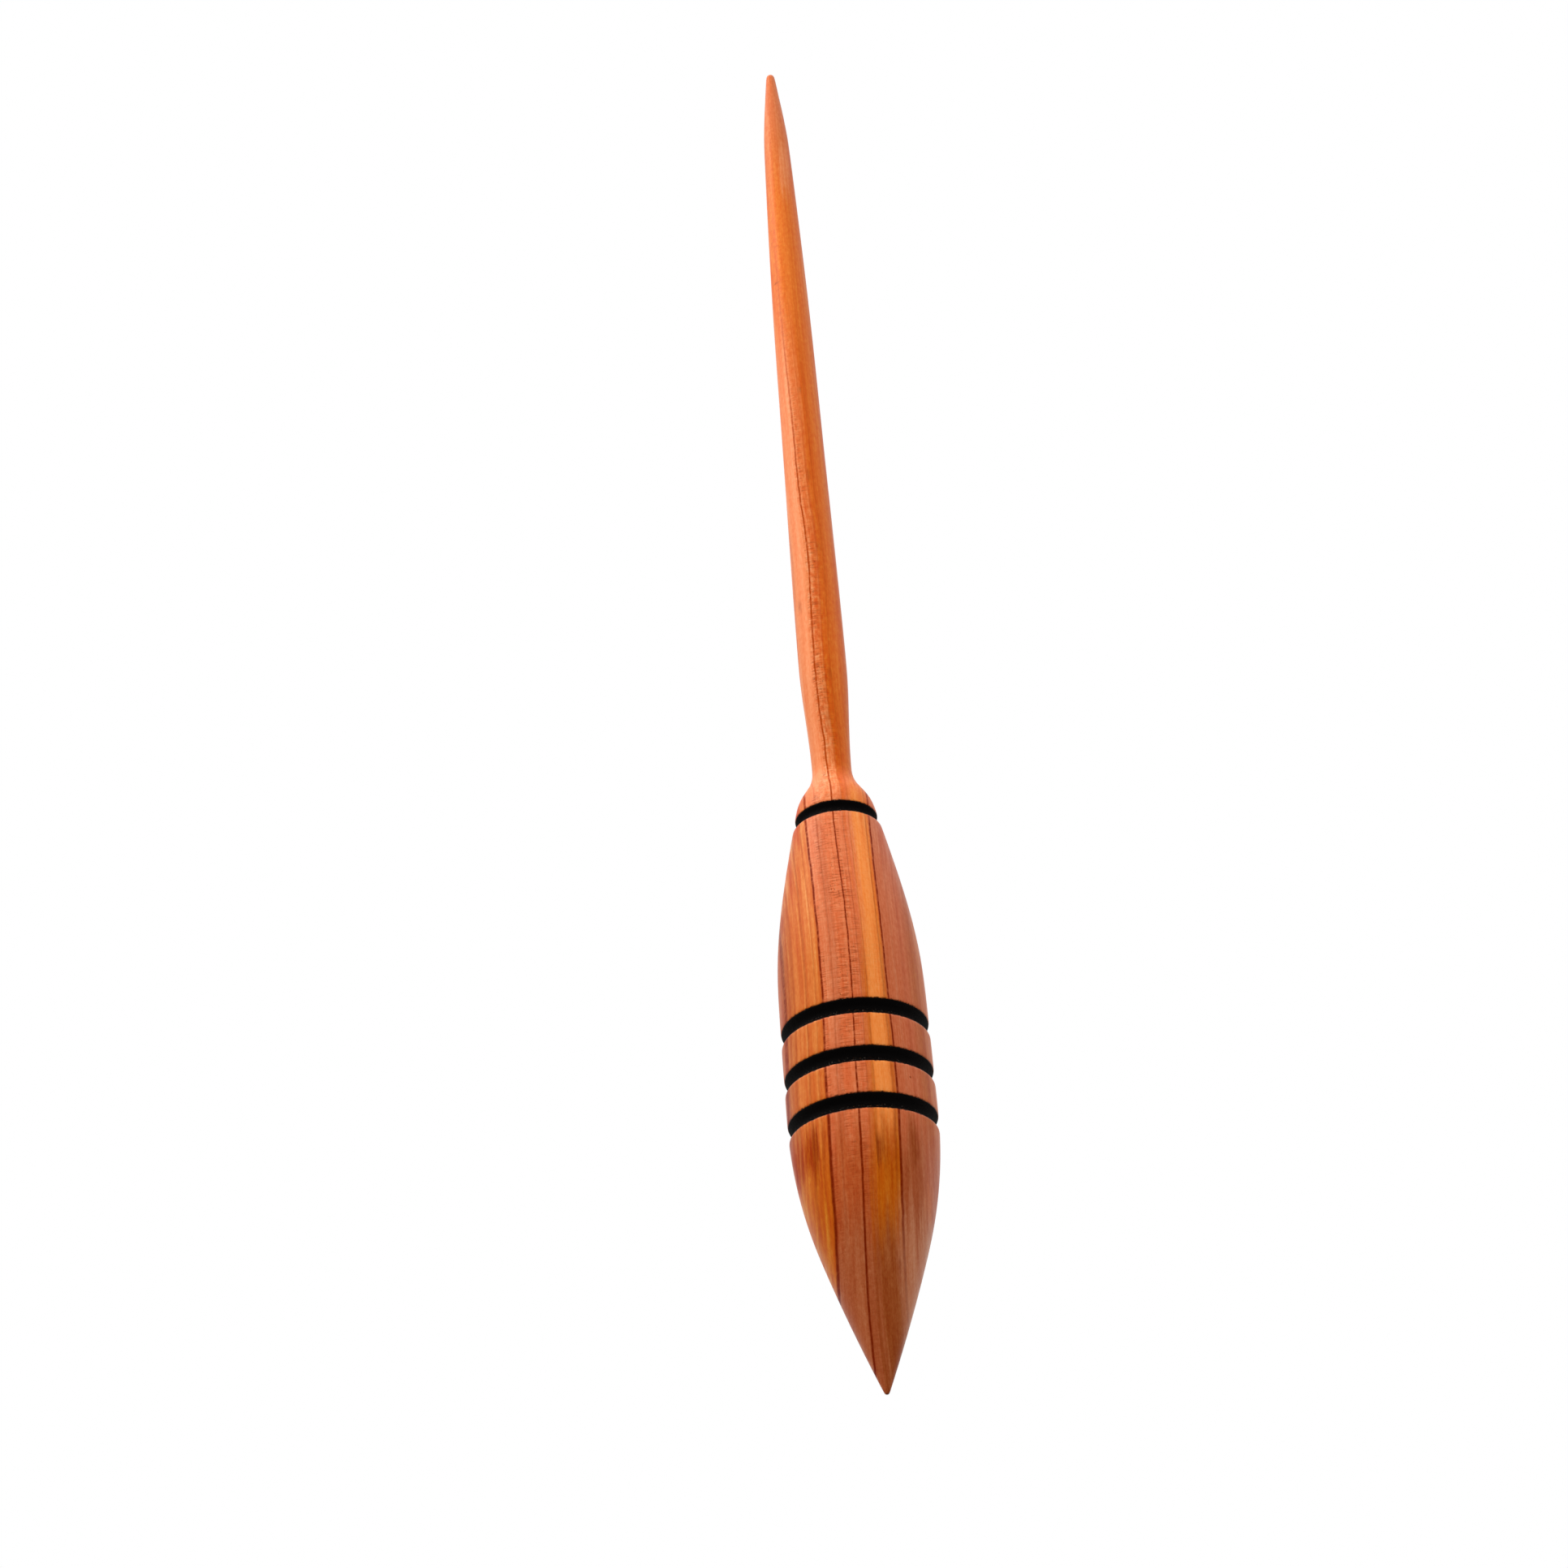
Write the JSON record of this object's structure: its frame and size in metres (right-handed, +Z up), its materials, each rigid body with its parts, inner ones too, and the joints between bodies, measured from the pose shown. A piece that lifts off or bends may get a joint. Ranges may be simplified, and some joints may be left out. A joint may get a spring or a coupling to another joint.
{
  "type": "support spindle",
  "caption": "Slim turned wooden support spindle with a long tapered shaft, a torpedo-shaped whorl ending in a spinning tip, and black burnt lines round the whorl.",
  "frame": {"origin": "the pole of the lower spinning tip, on the axis that the spindle spins about", "axes": "+Z runs up the axis from the spinning tip to the upper end of the shaft; X and Y are square to it and the form is round, so neither is special"},
  "size_m": [0.027, 0.027, 0.3053],
  "materials": {
    "oiled_plum": "sanded and oiled, satin, with straight dark growth lines along the axis",
    "burnt_wood": "matt black char with a few small glints, left by friction burning"
  },
  "bodies": {
    "root": {"turned_stick": "oiled_plum", "lower_burnt_line": "burnt_wood", "middle_burnt_line": "burnt_wood", "upper_burnt_line": "burnt_wood", "shoulder_burnt_line": "burnt_wood"}
  },
  "joints": []
}
